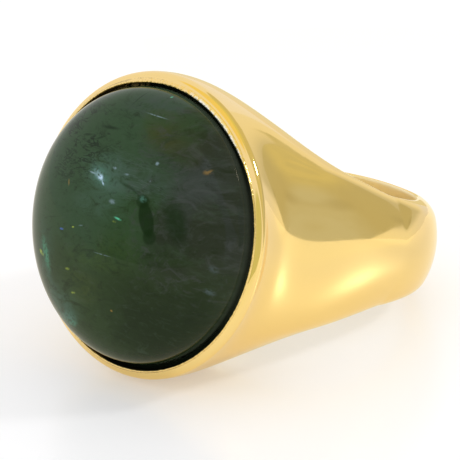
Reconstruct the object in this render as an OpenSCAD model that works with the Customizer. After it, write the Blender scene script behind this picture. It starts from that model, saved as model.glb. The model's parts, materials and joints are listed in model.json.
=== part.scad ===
// Finger ring: one gold casting whose band widens into a round head, and a domed stone in its bezel.
// The ring is shaped upright, with the finger along Z and the stone facing -Y.
// It is then laid on its side, as it comes to rest.

/* [Finger hole] */
// Diameter of the finger hole
finger_d = 17.3; // [16.5:0.1:18]

/* [Band] */
// Thickness of the band at the two sides of the finger
side_t = 2; // [1.8:0.05:2.4]
// Thickness of the band at the back of the finger
back_t = 1.65; // [1.5:0.05:2]
// Width of the band along the finger
band_w = 6.8; // [6.6:0.1:7.6]
// How much wider the band is at the very back of the finger
back_flare = 0.6; // [0:0.1:0.8]
// Radius of the arc that the outer face makes across the band
face_r = 6.2; // [5.5:0.1:9]
// Radius that rounds the band's edges at the two sides
side_edge_r = 1.6; // [1.2:0.1:2]
// Radius that rounds the band's edges at the back
back_edge_r = 2.9; // [2:0.1:3.1]

/* [Head] */
// Diameter of the head at the crease below the bezel
head_d = 20; // [19.8:0.1:21]
// Height of the bezel's rim above the middle of the finger hole
rim_h = 14.15; // [13.5:0.05:15.5]
// Drop from the bezel's rim to the crease
bezel_drop = 0.35; // [0.25:0.05:0.5]
// Angle that the bezel's sloping face turns through, from its lip to the crease
bezel_turn = 28; // [10:2:40]
// How far behind the middle of the finger hole the shoulders begin to widen
widen_back = 4; // [3:0.1:5]
// How far behind the middle of the finger hole the section begins to turn round
turn_back = 5.5; // [4:0.1:7]
// Depth of the waist that the head has on its two sides, below the bezel
waist = 0.6; // [0:0.05:0.7]
// Fullness of the shoulders below the bezel
cheek = 0.1; // [0:0.05:0.2]

/* [Stone] */
// Diameter of the bezel's opening
opening_d = 18.8; // [18.6:0.1:18.8]
// Diameter of the stone's dome, which a dark groove parts from the bezel
dome_d = 18; // [17.6:0.1:18.2]
// Height of the dome above the bezel's rim
dome_h = 4; // [3:0.05:5]
// Fullness of the dome, where 2 is half an ellipse
dome_fullness = 2.25; // [2:0.05:2.6]
// Depth of the groove between the dome and the bezel
groove_depth = 0.5; // [0.3:0.05:0.5]
// How far the stone's girdle reaches under the bezel's lip
girdle_reach = 0.05; // [0.03:0.01:0.08]
// Depth of the girdle's upper edge below the rim
girdle_drop = 0.7; // [0.7:0.05:0.8]
// Height of the girdle
girdle_h = 0.1; // [0.05:0.05:0.15]
// Depth of the stone's flat underside below the rim
base_drop = 2.4; // [1.5:0.1:3]
// Diameter of the stone's flat underside
base_d = 13; // [10:0.5:14]
// Gap between the stone and the metal
stone_gap = 0.07; // [0.05:0.01:0.1]

/* [Smoothness] */
// Steps across half of the band's outer face
face_steps = 4; // [3:1:6]
// Steps round each edge of the band
edge_steps = 6; // [4:1:7]
// Steps across each flank, from the edge to the middle
flank_steps = 8; // [6:1:9]
// Steps round the back of the band, an odd number so that the lowest one lies flat
back_steps = 37; // [31:2:45]
// Steps from the finger hole's middle up to the crease
head_steps = 14; // [12:1:18]
// Steps over the dome
dome_steps = 16; // [12:1:24]
// Steps round the finger hole, the bezel and the stone
round_steps = 144; // [96:12:180]

/* [Hidden] */

finger_r = finger_d / 2;
side_r = finger_r + side_t;
back_r = finger_r + back_t;
crease_r = head_d / 2;
crease_h = rim_h - bezel_drop;
opening_r = opening_d / 2;
dome_r = dome_d / 2;
girdle_r = opening_r + girdle_reach;
girdle_top = rim_h - girdle_drop;

// The bezel's own ring is let this far into the head, on a 45 degree slope.
bezel_root = 0.6;
// The faceted head stops this far inside the bezel's round crease.
crease_inset = 0.02;
// Flat on top of the bezel's lip, beside the opening.
lip_flat = 0.06;
lip_steps = 6;
// How far a cutting shape runs past what it cuts.
overrun = 2;

// Smooth step from 0 to 1.
function soft_step(t) =
    let (k = max(0, min(1, t)))
    k * k * (3 - 2 * k);

// Share of the way to the crease at height h, starting a given distance behind the finger hole's middle.
function share(h, start) = max(0, min(1, (h + start) / (crease_h + start)));

// Half of the ring's width along the finger, at height h towards the stone.
function half_width(h) =
    let (t = share(h, widen_back))
    band_w / 2 + (crease_r - band_w / 2) * soft_step(t) + cheek * sin(180 * pow(t, 4));

// Half of the head's width across the finger, at share u of the way up to the crease.
function half_across(u) =
    side_r + (crease_r - crease_inset - side_r) * soft_step(u) - waist * sin(180 * pow(u, 3));

// Quarter of the band's section: half the outer face, the rounded edge, and the flank to the middle.
function band_section(half_x, half_z, edge_r) =
    let (
        face_x = half_x - face_r,
        edge_z = half_z - edge_r,
        edge_x = face_x + sqrt(pow(face_r - edge_r, 2) - pow(edge_z, 2)),
        turn = atan2(edge_z, edge_x - face_x)
    )
    concat(
        [for (i = [0 : face_steps - 1])
            let (a = turn * i / face_steps)
            [face_x + face_r * cos(a), face_r * sin(a)]],
        [for (i = [0 : edge_steps - 1])
            let (a = turn + (90 - turn) * i / edge_steps)
            [edge_x + edge_r * cos(a), edge_z + edge_r * sin(a)]],
        [for (i = [0 : flank_steps])
            [edge_x * (1 - i / flank_steps), half_z]]
    );

// Length of a list of points, from its first to number n.
function run_length(points, n) =
    n == 0 ? 0 : run_length(points, n - 1) + norm(points[n] - points[n - 1]);

quarter = face_steps + edge_steps + flank_steps;
side_section = band_section(side_r, half_width(0), side_edge_r);
side_length = run_length(side_section, quarter);
// The same number of points on a quarter circle, spaced as they are along the band's section.
round_section = [for (i = [0 : quarter])
    let (a = 90 * run_length(side_section, i) / side_length)
    [cos(a), sin(a)]];

// A section scaled to one by one, turned towards the circle as height h comes near the crease.
function mixed_section(section, half_x, half_z, h) =
    let (m = soft_step(share(h, turn_back)))
    [for (i = [0 : quarter])
        let (p = section[i])
        [p.x / half_x, p.y / half_z] * (1 - m) + round_section[i] * m];

// Back of the band: a section through the finger's axis, at an angle from the stone's direction.
function back_section(angle) =
    let (
        c = cos(angle),
        reach = side_r + (back_r - side_r) * c * c,
        edge_r = side_edge_r + (back_edge_r - side_edge_r) * c * c,
        flare = back_flare / 2 * pow(c * c, 4),
        half_z = half_width((reach - edge_r) * c) + flare,
        section = mixed_section(band_section(reach, half_z, edge_r), reach, half_z, reach * c)
    )
    [for (q = section)
        let (r = q.x * reach)
        [r * sin(angle), -r * c, q.y * (half_width(min(r, reach - edge_r) * c) + flare)]];

// Head: a flat section across the ring, at share u of the way up to the crease.
function head_section(u) =
    let (
        h = u * crease_h,
        half_z = u < 1 ? half_width(h) : crease_r - crease_inset,
        section = mixed_section(side_section, side_r, half_width(0), h)
    )
    [for (q = section) [q.x * half_across(u), -h, q.y * half_z]];

function flip_z(p) = [p.x, p.y, -p.z];
function flip_x(p) = [-p.x, p.y, p.z];

// Back sections run from the upper flank over the outer face to the lower flank.
// The two points on the finger's axis are shared by them all, so they are kept apart.
back_row = 2 * quarter - 1;
function back_row_points(section) = concat(
    [for (i = [1 : quarter]) section[quarter - i]],
    [for (i = [1 : quarter - 1]) flip_z(section[i])]
);
back_points = [for (s = [0 : back_steps])
    each back_row_points(back_section(90 + 180 * s / back_steps))];
axis_points = [[0, 0, half_width(0)], [0, 0, -half_width(0)]];

// Head sections are whole loops: face, upper flank, far face, lower flank.
head_row = 4 * quarter;
function head_row_points(section) =
    let (upper = concat([for (i = [0 : quarter]) section[i]],
        [for (i = [1 : quarter]) flip_x(section[quarter - i])]))
    concat(upper, [for (i = [1 : 2 * quarter - 1]) flip_z(upper[2 * quarter - i])]);
head_points = [for (s = [1 : head_steps])
    each head_row_points(head_section(s / head_steps))];

upper_axis = (back_steps + 1) * back_row;
lower_axis = upper_axis + 1;
head_start = upper_axis + 2;
last_row = back_steps * back_row;

// Number of the point at place p round head section s, where section 0 is shared with the back.
function head_index(s, p) =
    let (k = p % head_row)
    s > 0 ? head_start + (s - 1) * head_row + k
    : k < quarter ? quarter - 1 - k
    : k == quarter ? upper_axis
    : k < 3 * quarter ? last_row + k - quarter - 1
    : k == 3 * quarter ? lower_axis
    : 5 * quarter - 1 - k;

function two_triangles(a, b, c, d) = [[a, b, c], [a, c, d]];

back_faces = [for (s = [0 : back_steps - 1]) let (a = s * back_row, b = a + back_row)
    each concat(
        [[upper_axis, b, a], [lower_axis, a + back_row - 1, b + back_row - 1]],
        [for (i = [0 : back_row - 2]) each two_triangles(a + i, b + i, b + i + 1, a + i + 1)]
    )];
head_faces = [for (s = [0 : head_steps - 1], p = [0 : head_row - 1])
    each two_triangles(
        head_index(s, p),
        head_index(s + 1, p),
        head_index(s + 1, p + 1),
        head_index(s, p + 1)
    )];
top_face = [for (p = [1 : head_row]) head_index(head_steps, head_row - p)];

// The bezel's face is a shallow arc that slopes from the lip down to the crease.
lip_r = opening_r + lip_flat;
bezel_slope = atan2(bezel_drop, crease_r - lip_r);
bezel_chord = norm([bezel_drop, crease_r - lip_r]);
bezel_face_r = bezel_chord / 2 / sin(bezel_turn / 2);
bezel_profile = concat(
    [[0, crease_h - bezel_root], [crease_r - bezel_root, crease_h - bezel_root]],
    [for (i = [0 : lip_steps])
        let (start = bezel_slope + bezel_turn / 2, a = start - bezel_turn * i / lip_steps)
        [crease_r - bezel_face_r * (sin(start) - sin(a)), crease_h + bezel_face_r * (cos(a) - cos(start))]],
    [[0, rim_h]]
);

// Underside and girdle of the stone, or of its seat when grown by a gap.
function seat_profile(grow) = [
    [0, rim_h - base_drop - grow],
    [base_d / 2, rim_h - base_drop - grow],
    [girdle_r + grow, girdle_top - girdle_h - grow],
    [girdle_r + grow, girdle_top]
];
// The bezel's wall stands over the girdle, and the stone's own wall over the groove's floor.
pocket_profile = concat(seat_profile(stone_gap), [
    [opening_r, girdle_top + stone_gap],
    [opening_r, rim_h + overrun],
    [0, rim_h + overrun]
]);
dome_profile = [for (i = [0 : dome_steps])
    let (a = 90 * i / dome_steps)
    [dome_r * pow(cos(a), 2 / dome_fullness), rim_h + dome_h * pow(sin(a), 2 / dome_fullness)]];
stone_profile = concat(seat_profile(0), [[dome_r, rim_h - groove_depth]], dome_profile);

// The ring comes to rest where its back and its head are equally low.
function rest_height(p, tilt) = p.z * cos(tilt) - p.y * sin(tilt);
function lowest(points, tilt) = min([for (p = points) rest_height(p, tilt)]);
function find_tilt(low, high, n) =
    let (tilt = (low + high) / 2)
    n == 0 ? tilt
    : lowest(head_points, tilt) > lowest(back_points, tilt) ? find_tilt(low, tilt, n - 1)
    : find_tilt(tilt, high, n - 1);
rest_tilt = find_tilt(5, 30, 30);
floor_h = lowest(back_points, rest_tilt);
rear_y = max([for (p = back_points) p.y * cos(rest_tilt) + p.z * sin(rest_tilt)]);
front_y = -max([for (p = dome_profile) p.y * cos(rest_tilt) + p.x * sin(rest_tilt)]);

module lay_down() {
    translate([0, -(rear_y + front_y) / 2, -floor_h])
        rotate([-rest_tilt, 0, 0])
            children();
}

module turned_towards_stone(profile) {
    rotate([90, 0, 0])
        rotate_extrude($fn = round_steps)
            polygon(profile);
}

module ring_body() {
    color("goldenrod")
        lay_down()
            difference() {
                union() {
                    polyhedron(concat(back_points, axis_points, head_points),
                        concat(back_faces, head_faces, [top_face]));
                    turned_towards_stone(bezel_profile);
                }
                cylinder(h = head_d + 2 * overrun, r = finger_r, center = true, $fn = round_steps);
                turned_towards_stone(pocket_profile);
            }
}

module cabochon() {
    color("darkgreen")
        lay_down()
            turned_towards_stone(stone_profile);
}

ring_body();
cabochon();
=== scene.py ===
"""Looks of a gold ring with a round tourmaline cabochon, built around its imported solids."""
import json
import math
import bmesh
import bpy
import numpy as np
from mathutils import Matrix, Vector


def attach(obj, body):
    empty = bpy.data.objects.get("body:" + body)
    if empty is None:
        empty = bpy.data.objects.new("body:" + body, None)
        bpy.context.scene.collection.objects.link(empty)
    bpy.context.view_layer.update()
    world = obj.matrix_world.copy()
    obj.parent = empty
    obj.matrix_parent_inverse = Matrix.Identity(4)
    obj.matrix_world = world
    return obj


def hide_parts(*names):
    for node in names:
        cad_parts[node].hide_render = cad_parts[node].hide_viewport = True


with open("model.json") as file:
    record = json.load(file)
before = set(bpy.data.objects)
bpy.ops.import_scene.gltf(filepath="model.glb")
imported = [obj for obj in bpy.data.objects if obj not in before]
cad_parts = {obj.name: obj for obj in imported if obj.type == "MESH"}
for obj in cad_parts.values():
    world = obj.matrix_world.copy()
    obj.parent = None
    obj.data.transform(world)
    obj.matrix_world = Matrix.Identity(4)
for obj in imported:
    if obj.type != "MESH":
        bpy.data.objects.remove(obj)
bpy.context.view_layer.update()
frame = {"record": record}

MM = 0.001

# The ring's sizes in millimetres, the same as in its solids.
FINGER_R = 8.65
SIDE_R = 10.65
BACK_R = 10.3
BAND_HALF = 3.4
BACK_FLARE = 0.3
BACK_FLARE_POWER = 8
FACE_R = 6.2
SIDE_EDGE_R = 1.6
BACK_EDGE_R = 2.9
CREASE_R = 10.0
RIM_H = 14.15
BEZEL_DROP = 0.35
CREASE_H = RIM_H - BEZEL_DROP
WIDEN_BACK = 4.0
TURN_BACK = 5.5
WAIST = 0.6
WAIST_POWER = 3
CHEEK = 0.1
CHEEK_POWER = 4
OPENING_R = 9.4
BEZEL_TURN = math.radians(28)
DOME_R = 9.0
DOME_H = 4.0
DOME_FULLNESS = 2.25
GROOVE_DEPTH = 0.5
GIRDLE_R = 9.45
GIRDLE_DROP = 0.7
GIRDLE_H = 0.1
BASE_R = 6.5
BASE_DROP = 2.4
STONE_GAP = 0.07
GIRDLE_LOW = RIM_H - GIRDLE_DROP - GIRDLE_H - STONE_GAP

# Small roundings of the metal's edges, in millimetres.
HOLE_ROUND = 0.4
CREASE_ROUND = 0.24
LIP_R = OPENING_R + 0.14
LIP_BEAD = 0.06
# Where the lip was pushed further over the stone: reach, fade, outer radius and lowest height in
# millimetres, middle and half length in degrees, and how fast it grows to its full reach from either end.
LIP_REACH = 0.17
LIP_REACH_FADE = 0.3
LIP_REACH_R = LIP_R + 0.2
LIP_REACH_LOW = RIM_H - GIRDLE_DROP + 0.1
LIP_REACH_AT = 75
LIP_REACH_HALF = 52
LIP_REACH_RISE = 1.6

# Steps of the ring's mesh in a quarter of it, and of the stone's mesh.
BACK_LINES = 80
SIDE_LINES = 56
CREASE_LINES = 80
LINE_STEPS = 48
HOLE_STEPS = 6
WALL_STEPS = 8
EDGE_STEPS = 9
DOME_RINGS = 64
DOME_AROUND = 192
# Halvings of the search for a point above the finger hole's edge, and the distance in metres within
# which points are joined.
HALVINGS = 40
WELD = 1e-8

# The camera looks at this point from this azimuth, elevation and distance. Its lens and sensor are in
# millimetres too, and the nearest distance that it sees is in metres.
LOOK_AT = Vector((-1.65, 0.544, 6.208))
AZIMUTH = 43.25
ELEVATION = 21.51
ROLL = math.radians(-3.3)
DISTANCE = 207.0
LENS = 239.25
SENSOR = 36
CLIP_START = 0.01

# The lamp's azimuth and elevation, its distance and width in metres, and its power in watts.
LAMP_WAY = (130, 35)
LAMP_DISTANCE = 0.6
LAMP_SIZE = 0.09
LAMP_POWER = 0.8

# The room, and its round parts that polished metal mirrors: middle, radius and soft edge in degrees,
# and colour.
WHITE_LIGHT = (1, 1, 1, 1)
ROOM = (0.94, 0.91, 0.91, 1)
REFLECTORS = [
    ((35, 5), 31, 6, (0.66, 0.66, 0.36, 1)),
    ((345, 0), 26, 10, (0.42, 0.40, 0.22, 1)),
    ((135, 40), 50, 2, (0.67, 0.62, 0.37, 1)),
    ((110, 85), 20, 14, (0.78, 0.73, 0.29, 1)),
    ((335, 68), 25, 7, (0.94, 0.79, 0.32, 1)),
]

# The floor's half width in metres, its paper, and the two tints that polished metal mirrors it in.
FLOOR_HALF = 1.5
FLOOR_GLOW = 0.3
PAPER = (0.66, 0.66, 0.67)
WARM_PAPER = (0.98, 0.93, 0.80, 1)
DIM_PAPER = (0.87, 0.83, 0.80, 1)
# The dim part's middle and half sizes in millimetres, and the share of it that is fully dim.
DIM_MIDDLE = (20, 38)
DIM_SIZE = (18, 44)
DIM_FULL = 0.4

# Curved reflector cards stand behind the ring at this radius in millimetres, and only polished surfaces
# see them. A card's foot is given by azimuths in degrees and heights in millimetres.
CARD_R = 65
CARD_STEPS = 48
CARD_TOP = 46
OLIVE_FOOT = [(95, 0), (127, 0), (140, 7), (150, 11), (158, 15), (164, 19), (167, 27), (168, 35),
              (171, 37.6), (175, 35.8), (178, 34.3), (181, 33)]
PALE_FOOT = [(100, 0), (192, 0)]
CREAM_FOOT = [(192, 0), (230, 0)]
CREAM_TOP = 22
# Darker places on the olive card: azimuth and height, half sizes, slant and strength.
OLIVE_DARK = (0.46, 0.43, 0.30, 1)
CARD_SHADES = [
    ((129, 20), (9, 5), 0, 0.6),
    ((151, 10), (7, 5), 0, 0.9),
]

# The painted shade in the groove and on the stone's wall is absent up to the first height along the finger,
# in millimetres, and full from the second.
UNSHADED_HALF = 2.5
SHADED_HALF = 6.5
# The stretch of the lip with a painted highlight: angles round the stone where it starts, is full and ends.
LIP_GLINT_START = (0.62, 0.72)
LIP_GLINT_END = (1.42, 1.2)
# The stretch of the stone's rim with a painted reflection of the gold lip: its middle across the finger,
# half width and soft end.
GLINT_AT = -4.6
GLINT_HALF = 2.4
GLINT_SOFT = 0.6

# The gold's tones: two that it varies between, a paler one in the finger hole that is painted light, the
# groove's painted shade and the lip's painted highlight.
GOLD = (0.965, 0.735, 0.315, 1)
DEEP_GOLD = (0.95, 0.71, 0.285, 1)
HOLE_LIT_GOLD = (0.95, 0.82, 0.50, 1)
GROOVE_SHADE = (0.08, 0.065, 0.035, 1)
GLINT_WHITE = (1.0, 0.98, 0.95, 1)

# The stone's body colours.
GREEN = (0.027, 0.062, 0.025, 1)
SMOKE = (0.020, 0.027, 0.017, 1)
OLIVE = (0.023, 0.044, 0.011, 1)
DEEP = (0.008, 0.017, 0.005, 1)
HAZE = (0.044, 0.070, 0.044, 1)
# Wide glows inside it, given like the flecks below.
GLOWS = [
    ((-0.2, 3.2), (3.2, 2.0), -8, (0.060, 0.125, 0.090, 1), 0.9),
    ((2.6, 3.4), (3.5, 1.6), -12, (0.048, 0.078, 0.062, 1), 0.7),
    ((-0.5, 1.3), (3.4, 1.3), 0, (0.045, 0.095, 0.060, 1), 0.7),
    ((6.2, 4.0), (2.6, 2.6), 20, (0.040, 0.050, 0.044, 1), 0.8),
    ((3.0, 6.3), (2.4, 1.3), -5, (0.040, 0.046, 0.014, 1), 0.75),
    ((1.4, -1.4), (3.0, 1.8), 0, (0.030, 0.058, 0.014, 1), 0.6),
    ((-3.4, -6.0), (3.0, 2.2), 25, (0.050, 0.110, 0.075, 1), 0.75),
    ((-5.4, -2.4), (1.6, 2.6), 15, (0.030, 0.085, 0.055, 1), 0.5),
    ((1.0, 8.0), (3.5, 1.2), 0, (0.050, 0.065, 0.060, 1), 0.6),
    ((-1.6, -4.4), (2.6, 1.7), 10, (0.044, 0.064, 0.010, 1), 0.6),
    ((-0.6, -2.3), (3.2, 0.9), 0, (0.040, 0.076, 0.014, 1), 0.5),
    ((-4.9, -4.6), (0.9, 2.2), 25, (0.050, 0.120, 0.085, 1), 0.5),
]
# Places seen in the stone from its front, in millimetres: across and along the finger.
# Each fleck has its middle, its two half lengths, its slant in degrees, its colour and its strength.
PALE = (0.30, 0.42, 0.50, 1)
WHITE = (0.50, 0.70, 0.90, 1)
TEAL = (0.08, 0.21, 0.16, 1)
BLUE = (0.10, 0.22, 0.75, 1)
SEA_GREEN = (0.10, 0.50, 0.30, 1)
LIME = (0.35, 0.45, 0.06, 1)
AMBER = (0.45, 0.26, 0.05, 1)
FLECKS = [
    ((-1.0, 3.1), (0.75, 0.34), -25, PALE, 0.9),
    ((-0.9, 3.1), (1.3, 0.8), -20, TEAL, 0.5),
    ((-0.8, 3.0), (0.3, 0.24), -10, WHITE, 1.0),
    ((-0.5, 2.7), (0.3, 0.1), -50, WHITE, 0.7),
    ((-1.6, 3.15), (0.45, 0.08), -5, PALE, 0.6),
    ((0.2, 3.8), (0.22, 0.13), 0, PALE, 0.5),
    ((1.3, 3.6), (0.3, 0.1), 5, PALE, 0.35),
    ((3.3, 4.7), (0.2, 0.16), 0, PALE, 0.55),
    ((3.15, 3.55), (0.12, 0.08), 0, PALE, 0.4),
    ((0.6, 1.7), (0.4, 0.22), 0, PALE, 0.4),
    ((1.3, 0.75), (0.42, 0.11), -8, SEA_GREEN, 0.9),
    ((1.05, 0.5), (0.22, 0.09), 0, LIME, 0.35),
    ((-3.6, -0.95), (0.26, 0.09), 5, BLUE, 0.8),
    ((-2.5, -0.6), (0.16, 0.08), 10, LIME, 0.9),
    ((-1.8, -0.35), (0.3, 0.06), 12, PALE, 0.25),
    ((-5.8, -3.0), (0.45, 0.2), -25, LIME, 0.8),
    ((-5.2, -2.9), (0.5, 1.6), 25, SEA_GREEN, 0.3),
    ((2.95, 2.35), (0.42, 0.3), 0, TEAL, 0.55),
    ((-2.7, -3.4), (0.32, 0.12), 8, LIME, 0.5),
    ((-2.1, -4.85), (0.3, 0.11), 10, LIME, 0.55),
    ((1.4, -5.25), (0.14, 0.1), 0, AMBER, 0.5),
    ((6.5, 4.8), (0.34, 0.24), 20, AMBER, 0.35),
    ((-3.65, 2.1), (0.1, 0.3), 15, AMBER, 0.4),
    ((1.6, 8.7), (0.1, 0.06), 0, SEA_GREEN, 0.9),
    ((1.8, 7.5), (1.1, 0.05), -4, PALE, 0.45),
    ((0.4, -1.78), (1.0, 0.05), 0, PALE, 0.3),
    ((7.9, -2.6), (0.4, 0.28), -20, PALE, 0.12),
    ((8.1, -1.1), (0.3, 0.4), 30, PALE, 0.08),
    ((-3.0, -6.8), (1.4, 0.8), 20, TEAL, 0.5),
    ((-2.5, -7.0), (0.7, 0.3), 15, SEA_GREEN, 0.15),
]
# Dark places: a bar of growth and fine cracks. The last number is the share of each that is fully dark.
SHADES = [
    ((3.5, 1.15), (0.6, 1.3), 24, 0.8, 0.75),
    ((3.0, 2.2), (0.6, 0.55), 0, 0.65, 0.6),
    ((3.95, 0.1), (0.6, 0.6), 0, 0.65, 0.6),
    ((-0.3, 8.3), (0.07, 0.75), -20, 0.7, 0.15),
    ((-1.3, 6.15), (1.2, 0.16), 4, 0.8, 0.15),
    ((-3.1, 5.35), (0.6, 0.12), 10, 0.7, 0.15),
    ((-1.8, 5.4), (0.7, 0.12), 25, 0.65, 0.15),
    ((-4.6, 2.4), (1.0, 0.09), 0, 0.4, 0.15),
    ((-4.8, -0.4), (0.9, 0.08), 12, 0.35, 0.15),
    ((-4.2, 6.9), (0.15, 0.08), 0, 0.5, 0.15),
    ((5.6, 1.3), (1.0, 1.8), 25, 0.6, 0.3),
    ((1.8, 2.85), (1.6, 0.16), -12, 0.45, 0.1),
    ((2.6, 2.5), (1.3, 0.12), -25, 0.4, 0.1),
]
# The stone's darks and hazes, and the painted light, painted shade and painted gold reflection at its rim.
SHADE = (0.004, 0.018, 0.004, 1)
CRACK = (0.004, 0.012, 0.004, 1)
SMOKE_HAZE = (0.046, 0.054, 0.048, 1)
ARC_HAZE = (0.09, 0.13, 0.12, 1)
RIM_GLOW = (0.070, 0.082, 0.058, 1)
WALL_SHADE = (0.012, 0.018, 0.010, 1)
GOLD_GLINT = (0.42, 0.32, 0.12, 1)


# The ring's own frame: x across the finger, y away from the stone, z along the finger.
hole = frame["record"]["mounts"][0]
finger_axis = Vector(hole["axis"]).normalized()
REST_TILT = math.atan2(finger_axis.y, finger_axis.z)
TO_ROW = (Matrix.Translation(Vector(hole["pos_m"])) @ Matrix.Rotation(-REST_TILT, 4, "X")
          @ Matrix.Scale(MM, 4))


def soft_step(t):
    t = np.clip(t, 0, 1)
    return t * t * (3 - 2 * t)


def share(h, start):
    """Share of the way to the crease at height h, from a distance behind the finger hole's middle."""
    return np.clip((h + start) / (CREASE_H + start), 0, 1)


def half_width(h):
    """Half width along the finger at height h."""
    t = share(h, WIDEN_BACK)
    return BAND_HALF + (CREASE_R - BAND_HALF) * soft_step(t) + CHEEK * np.sin(math.pi * t ** CHEEK_POWER)


def half_across(u):
    """Half width across the finger at share u of the way up to the crease."""
    return SIDE_R + (CREASE_R - SIDE_R) * soft_step(u) - WAIST * np.sin(math.pi * u ** WAIST_POWER)


def section_parts(half_x, half_z, edge_r):
    """Centre of the face's arc, centre of the edge's arc, and the angle where they meet."""
    face_x = half_x - FACE_R
    edge_z = half_z - edge_r
    edge_x = face_x + np.sqrt((FACE_R - edge_r) ** 2 - edge_z ** 2)
    return face_x, edge_x, edge_z, np.arctan2(edge_z, edge_x - face_x)


def band_section(half_x, half_z, edge_r, v):
    """A point of the band's section: v is 0 to 1 over its face, to 2 round its edge, to 3 on its flank."""
    face_x, edge_x, edge_z, turn = section_parts(half_x, half_z, edge_r)
    a = turn * np.clip(v, 0, 1)
    b = turn + (math.pi / 2 - turn) * np.clip(v - 1, 0, 1)
    x = np.where(v < 1, face_x + FACE_R * np.cos(a), edge_x + edge_r * np.cos(b))
    z = np.where(v < 1, FACE_R * np.sin(a), edge_z + edge_r * np.sin(b))
    return np.where(v > 2, edge_x * (3 - v), x), np.where(v > 2, half_z, z)


SIDE_HALF = float(half_width(0.0))
_, side_edge_x, _, side_turn = section_parts(SIDE_R, SIDE_HALF, SIDE_EDGE_R)
SECTION_ENDS = [0, 1, 2, 3]
SECTION_RUN = np.cumsum([0, FACE_R * side_turn, SIDE_EDGE_R * (math.pi / 2 - side_turn), side_edge_x])
SECTION_ANGLES = SECTION_RUN / SECTION_RUN[-1] * math.pi / 2


def round_angle(v):
    """Angle on the round section that belongs to v."""
    return np.interp(v, SECTION_ENDS, SECTION_ANGLES)


def mixed_section(half_x, half_z, edge_r, h, v):
    """The band's section scaled to one by one, turned towards a circle as h comes near the crease."""
    x, z = band_section(half_x, half_z, edge_r, v)
    m = soft_step(share(h, TURN_BACK))
    a = round_angle(v)
    return x / half_x * (1 - m) + np.cos(a) * m, z / half_z * (1 - m) + np.sin(a) * m


def back_point(angle, v):
    """Radius from the finger's axis and height along it, at an angle from the stone's direction."""
    c = np.cos(angle)
    reach = SIDE_R + (BACK_R - SIDE_R) * c * c
    edge_r = SIDE_EDGE_R + (BACK_EDGE_R - SIDE_EDGE_R) * c * c
    flare = BACK_FLARE * c ** BACK_FLARE_POWER
    qx, qz = mixed_section(reach, half_width((reach - edge_r) * c) + flare, edge_r, reach * c, v)
    r = qx * reach
    return r, qz * (half_width(np.minimum(r, reach - edge_r) * c) + flare)


def head_point(u, v):
    """Half width across the finger and height along it, at share u of the way up to the crease."""
    h = u * CREASE_H
    qx, qz = mixed_section(SIDE_R, SIDE_HALF, SIDE_EDGE_R, h, v)
    return qx * half_across(u), qz * half_width(h)


def ring_point(s, v):
    """A point of the outer surface: s runs from -1 at the back through 0 at the sides to 1 at the crease."""
    angle = math.pi / 2 * (1 - np.minimum(s, 0))
    r, z_back = back_point(angle, v)
    u = np.maximum(s, 0)
    x, z_head = head_point(u, v)
    back = s < 0
    return np.stack([np.where(back, r * np.sin(angle), x),
                     np.where(back, -r * np.cos(angle), -u * CREASE_H),
                     np.where(back, z_back, z_head)], -1)


def place_on_circle(angle, radius):
    """The (s, v) at which the outer surface stands over a circle round the finger's axis."""
    s = np.where(angle > math.pi / 2, 1 - angle / (math.pi / 2), radius * np.cos(angle) / CREASE_H)
    wanted = np.where(s < 0, radius, radius * np.sin(angle))
    low, high = np.zeros_like(angle), np.full_like(angle, 3.0)
    for _ in range(HALVINGS):
        v = (low + high) / 2
        x, y, _z = ring_point(s, v).T
        outside = np.where(s < 0, np.hypot(x, y), x) > wanted
        low, high = np.where(outside, v, low), np.where(outside, high, v)
    return s, v


def bezier(a, b, c, t):
    """Points on a bend from a to c with its corner at b."""
    t = np.asarray(t).reshape(-1, 1, 1)
    return (1 - t) ** 2 * a + 2 * t * (1 - t) * b + t * t * c


def grid_faces(rows, columns, start=0):
    """Four corners of each face of a grid of points."""
    r, c = np.meshgrid(np.arange(rows - 1), np.arange(columns - 1), indexing="ij")
    a = start + (r * columns + c).ravel()
    return np.stack([a, a + 1, a + columns + 1, a + columns], 1)


def polar(radius, angle, z):
    return np.stack([radius * np.sin(angle), -radius * np.cos(angle), z], -1)


def skin_lines(crease_angle):
    """Angles round the finger where the outer surface's lines start, and the (s, v) where they end."""
    top = 1 - CREASE_ROUND / CREASE_H
    back_angle = np.linspace(math.pi, math.pi / 2, BACK_LINES + 1)[:-1]
    side_u = np.linspace(0, top, SIDE_LINES + 1)
    side_angle = np.arctan2(half_across(side_u), side_u * CREASE_H)
    head_angle = np.arctan2(CREASE_R * np.cos(crease_angle[1:]), CREASE_H)
    end_s = np.concatenate([1 - back_angle / (math.pi / 2), side_u, np.full(CREASE_LINES, top)])
    end_v = np.concatenate([np.zeros(BACK_LINES + SIDE_LINES + 1),
                            np.interp(crease_angle[1:], SECTION_ANGLES, SECTION_ENDS)])
    return np.concatenate([back_angle, side_angle, head_angle]), end_s, end_v


def hole_rows(angle, skin_start):
    """Rows of points from the middle of the finger hole's wall to the start of the outer surface."""
    edge = ring_point(*place_on_circle(angle, FINGER_R))[:, 2]
    corner = polar(FINGER_R, angle, edge)
    below = polar(FINGER_R, angle, edge - HOLE_ROUND)
    wall = np.linspace(0, 1, WALL_STEPS + 1)[:-1, None, None] * below
    wall[..., :2] = below[:, :2]
    return [wall, bezier(below, corner, skin_start, np.linspace(0, 1, HOLE_STEPS + 1)[:-1])]


def quarter_ring():
    """Grids of points for the quarter of the metal with x and z above 0."""
    crease_angle = np.linspace(0, math.pi / 2, CREASE_LINES + 1)
    angle, end_s, end_v = skin_lines(crease_angle)
    start_s, start_v = place_on_circle(angle, FINGER_R + HOLE_ROUND)
    t = np.linspace(0, 1, LINE_STEPS + 1)[:, None]
    skin = ring_point(start_s + (end_s - start_s) * t, start_v + (end_v - start_v) * t)
    metal = np.concatenate(hole_rows(angle, skin[0]) + [skin])
    return metal, bezel_rows(metal[-1, -CREASE_LINES - 1:], crease_angle)


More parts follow.
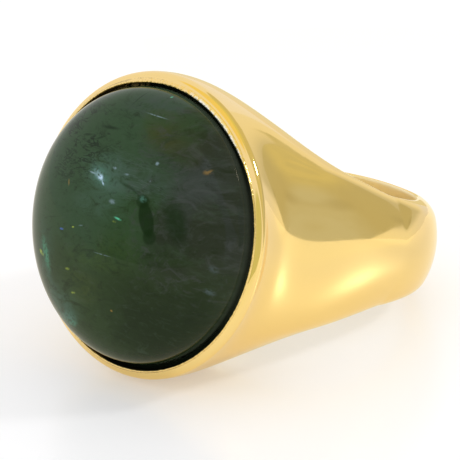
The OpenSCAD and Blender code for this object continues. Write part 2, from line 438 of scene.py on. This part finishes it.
def bezel_face(t):
    """Radius and height on the bezel's sloping face: t runs from 0 at the crease to 1 at the lip."""
    slope = math.atan2(BEZEL_DROP, CREASE_R - LIP_R)
    face_r = math.hypot(BEZEL_DROP, CREASE_R - LIP_R) / 2 / math.sin(BEZEL_TURN / 2)
    start = slope + BEZEL_TURN / 2
    a = start - BEZEL_TURN * t
    radius = CREASE_R - face_r * (math.sin(start) - math.sin(a))
    return radius, CREASE_H + face_r * (math.cos(a) - math.cos(start))


def lip_bead(a):
    """Radius and height on the bead of the lip, from its outer side at 0 to its inner one at pi."""
    bead_r = (LIP_R - OPENING_R) / 2
    return OPENING_R + bead_r * (1 + math.cos(a)), RIM_H + LIP_BEAD * math.sin(a)


def seat_profile():
    """Radii and heights from the lip's inner edge down to the middle of the floor under the stone."""
    floor_h = RIM_H - BASE_DROP - STONE_GAP
    seat_r = GIRDLE_R + STONE_GAP
    return [(OPENING_R, RIM_H - GIRDLE_DROP / 3),
            (OPENING_R, RIM_H - GIRDLE_DROP + STONE_GAP),
            (seat_r, RIM_H - GIRDLE_DROP),
            (seat_r, GIRDLE_LOW),
            (BASE_R, floor_h),
            (BASE_R / 2, floor_h),
            (0, floor_h)]


def bezel_rows(start, angle):
    """Rows of points from the crease over the lip, down the bezel's wall and in to the seat's middle."""
    def circle(place):
        radius, height = place
        return np.stack([radius * np.cos(angle), np.full_like(angle, -height), radius * np.sin(angle)], -1)

    first = CREASE_ROUND / math.hypot(BEZEL_DROP, CREASE_R - LIP_R)
    bend = bezier(start, circle((CREASE_R, CREASE_H)), circle(bezel_face(first)),
                  np.linspace(0, 1, EDGE_STEPS)[1:])
    places = [bezel_face(t) for t in np.linspace(first, 1, EDGE_STEPS + 1)[1:]]
    places += [lip_bead(a) for a in np.linspace(0, math.pi, EDGE_STEPS)[1:]]
    places += seat_profile()
    return np.concatenate([start[None], bend, np.stack([circle(place) for place in places])])


def show(obj):
    bpy.context.scene.collection.objects.link(obj)
    return obj


def new_piece(name, points, faces, material):
    """A smooth piece from points in the ring's frame, with its seams joined and its faces outwards."""
    mesh = bpy.data.meshes.new(name)
    mesh.from_pydata(points.tolist(), [], faces.tolist())
    mesh.transform(TO_ROW)
    bm = bmesh.new()
    bm.from_mesh(mesh)
    bmesh.ops.remove_doubles(bm, verts=bm.verts, dist=WELD)
    bmesh.ops.dissolve_degenerate(bm, dist=WELD, edges=bm.edges)
    bmesh.ops.recalc_face_normals(bm, faces=bm.faces)
    bm.to_mesh(mesh)
    bm.free()
    mesh.shade_smooth()
    mesh.materials.append(material)
    return show(bpy.data.objects.new(name, mesh))


def push_lip(points):
    """Moves the lip's inner edge in over the stone along a part of its round."""
    x, y, z = points.T
    radius = np.hypot(x, z)
    along = 1 - np.abs(np.degrees(np.arctan2(z, x)) - LIP_REACH_AT) / LIP_REACH_HALF
    inside = np.clip((LIP_REACH_R - radius) / LIP_REACH_FADE, 0, 1)
    above = np.clip((-y - LIP_REACH_LOW) / LIP_REACH_FADE, 0, 1)
    reach = LIP_REACH * soft_step(LIP_REACH_RISE * along) * inside * above * (radius > BASE_R)
    scale = 1 - reach / np.maximum(radius, BASE_R)
    return np.stack([x * scale, y, z * scale], -1)


def make_ring():
    """The metal: four mirrored quarters, joined at their seams."""
    points, faces, count = [], [], 0
    for grid in quarter_ring():
        rows, columns, _ = grid.shape
        for sx in (1, -1):
            for sz in (1, -1):
                points.append(grid.reshape(-1, 3) * [sx, 1, sz])
                quads = grid_faces(rows, columns, count)
                faces.append(quads if sx * sz > 0 else quads[:, ::-1])
                count += rows * columns
    return new_piece("gold_ring", push_lip(np.concatenate(points)), np.concatenate(faces), gold_material())


def make_stone():
    """The stone: a profile from the middle of its base over the girdle to the top of the dome, turned."""
    girdle_top = RIM_H - GIRDLE_DROP
    profile = [(0, RIM_H - BASE_DROP), (BASE_R, RIM_H - BASE_DROP), (GIRDLE_R, girdle_top - GIRDLE_H),
               (GIRDLE_R, girdle_top), (DOME_R, RIM_H - GROOVE_DEPTH), (DOME_R, RIM_H - GROOVE_DEPTH / 2)]
    power = 2 / DOME_FULLNESS
    profile += [(DOME_R * math.cos(a) ** power, RIM_H + DOME_H * math.sin(a) ** power)
                for a in np.linspace(0, math.pi / 2, DOME_RINGS + 1)]
    r, h = np.array(profile).T
    turn = np.linspace(0, 2 * math.pi, DOME_AROUND + 1)
    points = np.stack([np.outer(r, np.cos(turn)), np.outer(-h, np.ones_like(turn)),
                       np.outer(r, np.sin(turn))], -1)
    return new_piece("tourmaline", points.reshape(-1, 3), grid_faces(len(r), DOME_AROUND + 1),
                     stone_material())


class Graph:
    """Adds nodes to a tree. An input is a number, a colour, a vector or another node's output."""

    def __init__(self, tree):
        self.tree = tree

    def node(self, kind, *inputs, out=0, **settings):
        node = self.tree.nodes.new("ShaderNode" + kind)
        for key, value in settings.items():
            setattr(node, key, value)
        for place, value in enumerate(inputs):
            self.put(node.inputs[place], value)
        return node.outputs[out]

    def put(self, socket, value):
        if isinstance(value, bpy.types.NodeSocket):
            self.tree.links.new(value, socket)
        elif value is not None:
            socket.default_value = value

    def math(self, operation, a, b=None, c=None):
        return self.node("Math", a, b, c, operation=operation)

    def product(self, first, *others):
        for other in others:
            first = self.math("MULTIPLY", first, other)
        return first

    def total(self, first, *others):
        for other in others:
            first = self.math("ADD", first, other)
        return first

    def distance(self, a, b):
        """Length of the two sides a and b of a right angle taken together."""
        return self.math("SQRT", self.total(self.math("POWER", a, 2.0), self.math("POWER", b, 2.0)))

    def ramp(self, value, low, high, start=0.0, end=1.0):
        """Carries value softly from start to end as it goes from low to high."""
        return self.node("MapRange", value, low, high, start, end, interpolation_type="SMOOTHSTEP")

    def mix(self, amount, a, b):
        node = self.tree.nodes.new("ShaderNodeMix")
        node.data_type = "RGBA"
        for name, value in (("Factor", amount), ("A", a), ("B", b)):
            self.put(next(s for s in node.inputs if s.name == name and s.enabled), value)
        return next(s for s in node.outputs if s.enabled)

    def noise(self, place, scale, detail=3.0, roughness=0.5, distortion=0.0):
        node = self.tree.nodes.new("ShaderNodeTexNoise")
        for name, value in (("Vector", place), ("Scale", scale), ("Detail", detail),
                            ("Roughness", roughness), ("Distortion", distortion)):
            self.put(node.inputs[name], value)
        return node.outputs["Fac"]

    def ridge(self, place, sharpness, detail=4.0, distortion=0.8):
        """Thin wandering lines: 1 on a line and 0 away from it."""
        wave = self.math("SUBTRACT", self.noise(place, 1.0, detail, 0.6, distortion), 0.5)
        return self.ramp(self.math("ABSOLUTE", wave), sharpness, 0.0)

    def spot(self, flat, middle, size, slant, full=0.15):
        """Strength from 1 within a share of an oval to 0 at its edge."""
        turned = self.node("Mapping", flat, (middle[0], 0, middle[1]), (0, -math.radians(slant), 0),
                           (size[0], 1, size[1]), vector_type="TEXTURE")
        return self.ramp(self.node("VectorMath", turned, operation="LENGTH", out="Value"), 1.0, full)

    def bump(self, height, distance, normal=None):
        node = self.tree.nodes.new("ShaderNodeBump")
        node.inputs["Distance"].default_value = distance
        self.put(node.inputs["Height"], height)
        self.put(node.inputs["Normal"], normal)
        return node.outputs[0]

    def stretch(self, place, scale, turn=(0, 0, 0)):
        return self.node("Mapping", place, (0, 0, 0), turn, scale)

    def split(self, place):
        return self.node("SeparateXYZ", place).node.outputs

    def here(self):
        return self.node("TexCoord", out="Object")

    def ring_space(self):
        """Place in the ring's own frame, in millimetres."""
        return self.node("Mapping", self.here(), hole["pos_m"], (-REST_TILT, 0, 0), (MM, MM, MM),
                         vector_type="TEXTURE")

    def mirrored(self):
        """1 where the place is seen in a polished surface."""
        return self.node("LightPath", out="Is Glossy Ray")


def new_material(name):
    mat = bpy.data.materials.new(name)
    mat.use_nodes = True
    return mat, Graph(mat.node_tree), mat.node_tree.nodes["Principled BSDF"]


def away_from_sides(g, along):
    """Share of the painted shade in the groove and on the stone's wall: none at the stone's two sides, full
    above and below it.
    """
    return g.ramp(g.math("ABSOLUTE", along), UNSHADED_HALF, SHADED_HALF)


def groove_painted_shade(g, radius, depth, along):
    """Strength of the painted shade in the groove between the lip and the stone's seat."""
    below_rim = g.product(g.ramp(radius, OPENING_R + 0.02, OPENING_R), g.ramp(depth, -RIM_H, 0.12 - RIM_H))
    above_seat = g.ramp(depth, -GIRDLE_LOW, -GIRDLE_LOW - 0.1)
    return g.product(below_rim, above_seat, away_from_sides(g, along))


def glint_dashes(g, turn, radius):
    """Short dashes of painted highlight on a part of the lip's inner edge."""
    stretch_of_lip = g.product(g.ramp(turn, *LIP_GLINT_START), g.ramp(turn, *LIP_GLINT_END))
    dashes = g.ramp(g.noise(g.node("CombineXYZ", turn), 22.0, 1.0), 0.38, 0.46)
    return g.product(stretch_of_lip, dashes, g.ramp(radius, LIP_R - 0.05, LIP_R - 0.12))


def hair_scratches(g, place):
    """Fine polishing hairs in one direction, broken up by hairs in another."""
    hairs = g.noise(g.stretch(place, (0.5, 14, 3), (0.4, 0.3, 0.9)), 1.0, 2.0)
    breaks = g.noise(g.stretch(place, (16, 0.6, 4), (0.2, 0.7, -0.5)), 1.0, 2.0)
    return g.product(g.ramp(hairs, 0.60, 0.74), g.ramp(breaks, 0.45, 0.7))


def gold_material():
    """Polished yellow gold: a slightly uneven tone, hair scratches, painted light in the finger hole, a
    bumpy lip with painted highlight dashes and painted shade in the groove.
    """
    mat, g, shader = new_material("polished_gold")
    place = g.ring_space()
    x, y, z = g.split(place)
    radius = g.distance(x, z)
    on_lip = g.product(g.ramp(radius, LIP_R + 0.04, LIP_R - 0.04), g.ramp(y, 0.12 - RIM_H, 0.02 - RIM_H))
    # Painted shade: the groove's gold is darkened above and below the stone.
    shaded_groove = groove_painted_shade(g, radius, y, z)
    # Painted light: the finger hole's wall is given a paler gold to brighten it.
    in_hole = g.ramp(g.distance(x, y), FINGER_R + 0.1, FINGER_R + 0.02)
    # Painted highlight: pale dashes on part of the lip's inner edge.
    lip_glint = g.product(glint_dashes(g, g.math("ARCTAN2", z, x), radius), on_lip)
    hair = hair_scratches(g, place)

    tone = g.mix(g.noise(place, 0.25), GOLD, DEEP_GOLD)
    for amount, colour in ((in_hole, HOLE_LIT_GOLD), (shaded_groove, GROOVE_SHADE), (lip_glint, GLINT_WHITE)):
        tone = g.mix(amount, tone, colour)
    rough = g.ramp(g.noise(place, 0.8), 0.3, 0.7, 0.05, 0.085)
    for amount, added in ((hair, 0.12), (in_hole, 0.35), (on_lip, 0.15), (shaded_groove, 0.5)):
        rough = g.total(rough, g.product(amount, added))
    ripple = g.total(g.product(g.noise(place, 0.45, 1.0), 0.35), g.product(hair, -0.02))
    burr = g.product(g.noise(place, 3.5, 2.0), on_lip)

    g.put(shader.inputs["Base Color"], tone)
    g.put(shader.inputs["Roughness"], rough)
    g.put(shader.inputs["Normal"], g.bump(burr, 0.08 * MM, g.bump(ripple, 0.012 * MM)))
    shader.inputs["Metallic"].default_value = 1
    return mat


def stone_body(g, flat, side, low, mist):
    """Green on one side, smoky on the other and olive below, with wide glows."""
    body = g.mix(g.ramp(side, 1.5, 7.0), GREEN, SMOKE)
    body = g.mix(g.product(g.ramp(low, 0.5, -4.0), 0.75), body, OLIVE)
    body = g.mix(g.product(g.ramp(side, -2.0, 4.0), g.ramp(low, -0.5, -5.0, 0.0, 0.8)), body, DEEP)
    uneven = g.ramp(mist, 0.3, 0.65)
    for middle, size, slant, colour, strength in GLOWS:
        glow = g.product(g.spot(flat, middle, size, slant), g.product(uneven, strength))
        body = g.mix(glow, body, colour)
    return body


def stone_grain(g, body, flat, mist):
    """Pale and dark clouds, the wide ones first and then the fine ones."""
    grain = g.noise(g.stretch(flat, (1.0, 1, 1.7)), 1.3, 6.0, 0.75, 0.6)
    body = g.mix(g.ramp(mist, 0.52, 0.75, 0.0, 0.45), body, HAZE)
    body = g.mix(g.ramp(mist, 0.48, 0.25, 0.0, 0.6), body, DEEP)
    body = g.mix(g.ramp(grain, 0.48, 0.30, 0.0, 0.55), body, DEEP)
    return g.mix(g.ramp(grain, 0.54, 0.74, 0.0, 0.4), body, HAZE)


def stone_veils(g, body, flat, side, along, cloud):
    """Short cracks on the green side, smoke on the other and thin arcs of growth between them."""
    crack = g.product(g.ridge(g.stretch(flat, (0.8, 1, 2.2)), 0.045), g.ramp(cloud, 0.42, 0.55))
    crack = g.product(crack, g.spot(flat, (-3.5, 5.0), (5.5, 4.5), 20), 0.9)
    wisps = g.noise(g.stretch(flat, (0.5, 1, 0.75), (0, 0.5, 0)), 1.0, 5.0, 0.68, 2.5)
    smoke = g.product(g.ramp(wisps, 0.48, 0.68, 0.0, 0.6), g.ramp(along, -5.5, -2.0))
    smoke = g.product(smoke, g.ramp(side, 0.5, 4.0))
    arcs = g.ridge(g.stretch(flat, (0.22, 1, 1.5), (0, 0.12, 0)), 0.02, 5.0, 0.3)
    arcs = g.product(arcs, g.spot(flat, (2.2, 3.3), (4.5, 2.2), -10), 0.3)
    for amount, colour in ((crack, CRACK), (smoke, SMOKE_HAZE), (arcs, ARC_HAZE)):
        body = g.mix(amount, body, colour)
    return body


def stone_marks(g, body, flat):
    """The dark places and the bright flecks."""
    for middle, size, slant, strength, full in SHADES:
        body = g.mix(g.product(g.spot(flat, middle, size, slant, full), strength), body, SHADE)
    broken = g.ramp(g.noise(flat, 5.0, 3.0), 0.34, 0.54)
    for middle, size, slant, colour, strength in FLECKS:
        fleck = g.product(g.spot(flat, middle, size, slant), g.product(broken, strength))
        body = g.mix(fleck, body, colour)
    return body


def stone_rim(g, body, flat, across, depth, along):
    """Painted light at the foot of the dome, painted shade on the wall below it and a painted reflection of
    the gold lip at one side.
    """
    # Painted light: a paler colour at the foot of the dome.
    glow = g.ramp(depth, -0.6 - RIM_H, -0.02 - RIM_H, 0.0, 0.55)
    # Painted shade on the stone's wall in the groove, above and below the stone.
    wall = g.product(g.ramp(depth, 0.02 - RIM_H, 0.2 - RIM_H), away_from_sides(g, along))
    # Painted reflection: the gold lip shown in the stone's edge at one side.
    from_side = g.math("SUBTRACT", g.math("ABSOLUTE", g.total(across, -GLINT_AT)), GLINT_HALF)
    glint = g.product(g.ramp(depth, -0.16 - RIM_H, -0.04 - RIM_H), g.ramp(from_side, GLINT_SOFT, 0.0),
                      g.ramp(g.noise(flat, 2.5, 2.0), 0.35, 0.6))
    for amount, colour in ((glow, RIM_GLOW), (wall, WALL_SHADE), (glint, GOLD_GLINT)):
        body = g.mix(amount, body, colour)
    return body


def stone_material():
    """Dark green tourmaline: cloudy body, growth lines, cracks and bright flecks under a glassy polish."""
    mat, g, shader = new_material("green_tourmaline")
    x, y, z = g.split(g.ring_space())
    flat = g.node("CombineXYZ", x, 0.0, z)
    cloud = g.noise(g.stretch(flat, (0.35, 1, 0.45)), 1.0, 5.0, 0.62, 0.6)
    mist = g.noise(g.stretch(flat, (0.55, 1, 1.1), (0, 0.25, 0)), 1.0, 6.0, 0.7, 1.0)
    sway = g.math("SUBTRACT", cloud, 0.5)
    side = g.total(x, g.product(sway, 7.0))
    low = g.total(z, g.product(sway, 6.0))
    body = stone_body(g, flat, side, low, mist)
    body = stone_grain(g, body, flat, mist)
    body = stone_veils(g, body, flat, side, z, cloud)
    body = stone_marks(g, body, flat)
    body = stone_rim(g, body, flat, x, y, z)
    g.put(shader.inputs["Base Color"], body)
    shader.inputs["Roughness"].default_value = 0.03
    shader.inputs["IOR"].default_value = 1.63
    shader.inputs["Specular IOR Level"].default_value = 0.1
    return mat


def towards(azimuth, elevation):
    """Direction at an azimuth from -Y round through +X, and an elevation, both in degrees."""
    a, e = math.radians(azimuth), math.radians(elevation)
    return Vector((math.sin(a) * math.cos(e), -math.cos(a) * math.cos(e), math.sin(e)))


def make_camera():
    back = towards(AZIMUTH, ELEVATION)
    data = bpy.data.cameras.new("camera")
    data.lens = LENS
    data.sensor_width = SENSOR
    data.clip_start = CLIP_START
    camera = show(bpy.data.objects.new("camera", data))
    camera.location = (LOOK_AT + back * DISTANCE) * MM
    camera.rotation_mode = "QUATERNION"
    level = (-back).to_track_quat("-Z", "Y")
    camera.rotation_quaternion = level @ Matrix.Rotation(ROLL, 4, "Z").to_quaternion()
    bpy.context.scene.camera = camera


def make_world():
    """Even white light, in which polished surfaces mirror a room with soft round reflectors."""
    world = bpy.data.worlds.new("studio")
    world.use_nodes = True
    g = Graph(world.node_tree)
    direction = g.node("TexCoord", out="Generated")
    colour = ROOM
    for middle, radius, soft, tint in REFLECTORS:
        way = tuple(towards(*middle))
        nearness = g.node("VectorMath", direction, way, operation="DOT_PRODUCT", out="Value")
        edges = [math.cos(math.radians(radius + side * soft / 2)) for side in (1, -1)]
        colour = g.mix(g.ramp(nearness, *edges), colour, tint)
    background = world.node_tree.nodes["Background"]
    g.put(background.inputs["Color"], g.mix(g.mirrored(), WHITE_LIGHT, colour))
    bpy.context.scene.world = world


def floor_material():
    """Pale paper, which polished surfaces mirror a little warmer, and dimmer on the ring's right."""
    mat, g, shader = new_material("pale_floor")
    x, y, _ = g.split(g.here())
    flat = g.node("CombineXYZ", g.math("DIVIDE", x, MM), 0.0, g.math("DIVIDE", y, MM))
    seen = g.mix(g.spot(flat, DIM_MIDDLE, DIM_SIZE, 0, DIM_FULL), WARM_PAPER, DIM_PAPER)
    tint = g.mix(g.mirrored(), WHITE_LIGHT, seen)
    g.put(shader.inputs["Base Color"], g.node("VectorMath", tint, PAPER, operation="MULTIPLY"))
    g.put(shader.inputs["Emission Color"], tint)
    shader.inputs["Roughness"].default_value = 0.28
    shader.inputs["IOR"].default_value = 1.5
    shader.inputs["Emission Strength"].default_value = FLOOR_GLOW
    return mat


def stage_object(name, points, faces, material):
    """A thing of the studio that isn't part of the object. Its points are in metres."""
    mesh = bpy.data.meshes.new(name)
    mesh.from_pydata(points, [], faces)
    mesh.materials.append(material)
    obj = show(bpy.data.objects.new(name, mesh))
    return obj


def make_floor():
    h = FLOOR_HALF
    corners = [(-h, -h, 0), (h, -h, 0), (h, h, 0), (-h, h, 0)]
    return stage_object("floor", corners, [(0, 1, 2, 3)], floor_material())


def card_material(name, colour):
    """A glow in the colour that a function of the card's nodes gives."""
    mat = bpy.data.materials.new(name)
    mat.use_nodes = True
    mat.node_tree.nodes.clear()
    g = Graph(mat.node_tree)
    output = g.tree.nodes.new("ShaderNodeOutputMaterial")
    g.put(output.inputs["Surface"], g.node("Emission", colour(g)))
    return mat


def make_card(name, foot, height, colour, radius=CARD_R):
    """A curved card that only polished surfaces see, from the first to the last azimuth of its foot."""
    places = np.linspace(foot[0][0], foot[-1][0], CARD_STEPS + 1)
    low = np.interp(places, *zip(*foot))
    ways = [towards(float(a), 0) * radius for a in places]
    points = [way + Vector((0, 0, float(z))) for way, z in zip(ways, low)]
    points += [way + Vector((0, 0, height)) for way in ways]
    faces = [(i, i + 1, i + CARD_STEPS + 2, i + CARD_STEPS + 1) for i in range(CARD_STEPS)]
    card = stage_object(name, [tuple(p * MM) for p in points], faces, card_material(name, colour))
    for ray in ("visible_camera", "visible_diffuse", "visible_shadow", "visible_transmission"):
        setattr(card, ray, False)


def card_place(g):
    """Azimuth in degrees and height in millimetres."""
    x, y, z = g.split(g.here())
    angle = g.math("ARCTAN2", x, g.product(y, -1.0))
    azimuth = g.math("MODULO", g.total(g.product(angle, 180 / math.pi), 360.0), 360.0)
    return azimuth, g.math("DIVIDE", z, MM)


def olive(g):
    """Grey-olive at the near foot and more golden above, with darker places."""
    azimuth, height = card_place(g)
    flat = g.node("CombineXYZ", azimuth, 0.0, height)
    colour = g.mix(g.ramp(azimuth, 124, 136), (0.60, 0.60, 0.53, 1), (0.55, 0.52, 0.37, 1))
    colour = g.mix(g.ramp(height, 24, 42), colour, (0.71, 0.66, 0.39, 1))
    colour = g.mix(g.ramp(g.noise(flat, 0.09, 3.0), 0.4, 0.7, 0.0, 0.5), colour, (0.54, 0.51, 0.37, 1))
    for middle, size, slant, strength in CARD_SHADES:
        colour = g.mix(g.product(g.spot(flat, middle, size, slant), strength), colour, OLIVE_DARK)
    return colour


def pale(g):
    """Behind the olive card: bright at the foot, grey above it and cream at its far end."""
    azimuth, height = card_place(g)
    high = g.mix(g.ramp(azimuth, 163, 184), (0.62, 0.60, 0.52, 1), (0.91, 0.85, 0.68, 1))
    low = g.mix(g.ramp(azimuth, 130, 160), (0.97, 0.92, 0.78, 1), (0.85, 0.82, 0.81, 1))
    return g.mix(g.ramp(height, 12, 5), high, low)


def cream(g):
    """Deeper at the foot than at the top."""
    height = g.split(g.here())["Z"]
    return g.mix(g.ramp(height, 0.0, CREAM_TOP * MM), (0.80, 0.72, 0.44, 1), (0.88, 0.80, 0.62, 1))


def make_lamp(lit_objects):
    """A soft round lamp that lights only the objects given."""
    light = bpy.data.lights.new("lamp", "AREA")
    light.shape = "DISK"
    light.size = LAMP_SIZE
    light.energy = LAMP_POWER
    lamp = show(bpy.data.objects.new("lamp", light))
    way = towards(*LAMP_WAY)
    lamp.location = way * LAMP_DISTANCE
    lamp.rotation_mode = "QUATERNION"
    lamp.rotation_quaternion = way.to_track_quat("Z", "Y")
    lamp.visible_camera = False
    lit = bpy.data.collections.new("lit_by_lamp")
    for obj in lit_objects:
        lit.objects.link(obj)
    lamp.light_linking.receiver_collection = lit


make_camera()
make_world()
floor = make_floor()
make_card("olive_card", OLIVE_FOOT, CARD_TOP, olive)
make_card("pale_card", PALE_FOOT, CARD_TOP, pale, CARD_R + 1)
make_card("cream_card", CREAM_FOOT, CREAM_TOP, cream)
bpy.context.scene.view_settings.view_transform = "Standard"
ring = make_ring()
stone = make_stone()
make_lamp([ring, floor])
for piece, node, slot in ((ring, "ring_body", "gold"), (stone, "cabochon", "tourmaline")):
    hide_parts(node)
    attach(piece, "root")
